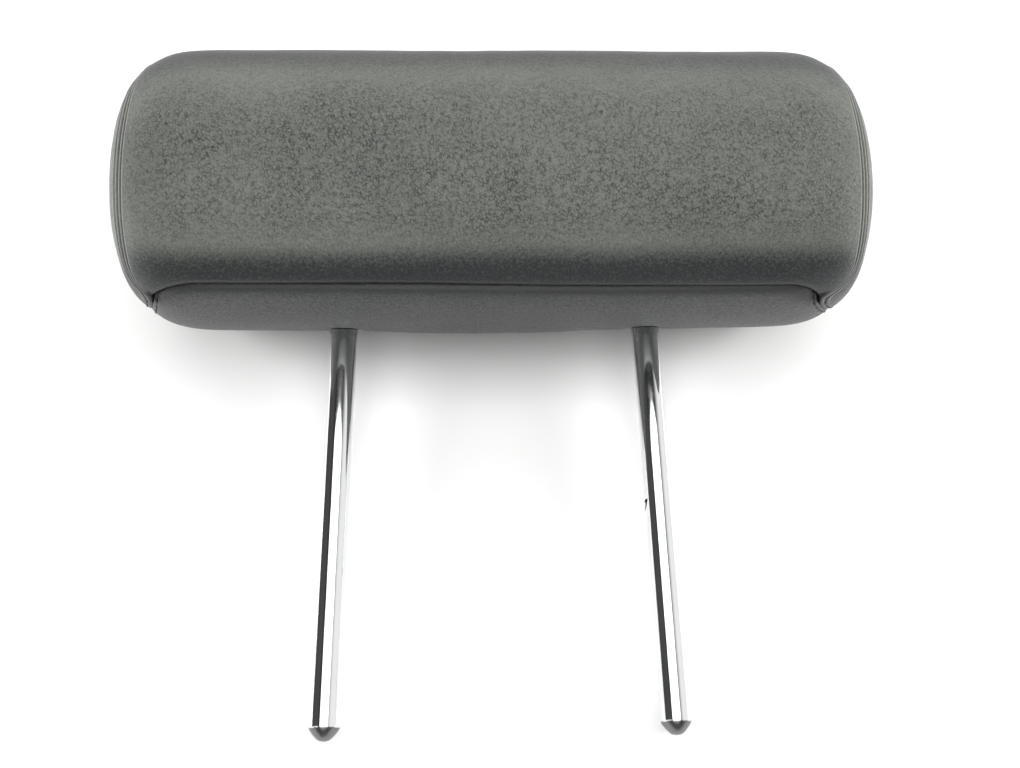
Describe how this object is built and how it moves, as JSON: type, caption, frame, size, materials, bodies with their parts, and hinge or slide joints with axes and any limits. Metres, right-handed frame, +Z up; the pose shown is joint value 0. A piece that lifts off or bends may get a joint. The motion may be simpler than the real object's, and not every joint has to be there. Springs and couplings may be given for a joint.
{
  "type": "car headrest",
  "caption": "Roll shaped car headrest: leather cover in four panels over foam, on a bent chromed tube whose two posts slide into the seat back.",
  "frame": {"origin": "midway between the two post axes, level with the post tips", "axes": "+Z up along the posts, +X along the roll, the front of the roll faces -Y"},
  "size_m": [0.314, 0.1112, 0.2901],
  "materials": {
    "leather": "black pebbled leather with a soft sheen, worn grey on top",
    "chrome": "bright chrome on steel tube",
    "foam": "open cell polyurethane foam, soft",
    "carrier_plastic": "moulded black plastic",
    "screw_steel": "yellow passivated steel"
  },
  "bodies": {
    "root": {"cover_main_panel": "leather", "cover_bottom_panel": "leather", "cover_end_left": "leather", "cover_end_right": "leather", "closure_channel": "carrier_plastic", "closure_hook": "carrier_plastic", "foam_pad": "foam", "post_frame": "chrome", "carrier_front": "carrier_plastic", "carrier_rear": "carrier_plastic", "carrier_screw_1": "screw_steel", "carrier_screw_2": "screw_steel", "carrier_screw_3": "screw_steel", "carrier_screw_4": "screw_steel", "post_collar_left": "carrier_plastic", "post_collar_right": "carrier_plastic"}
  },
  "joints": []
}
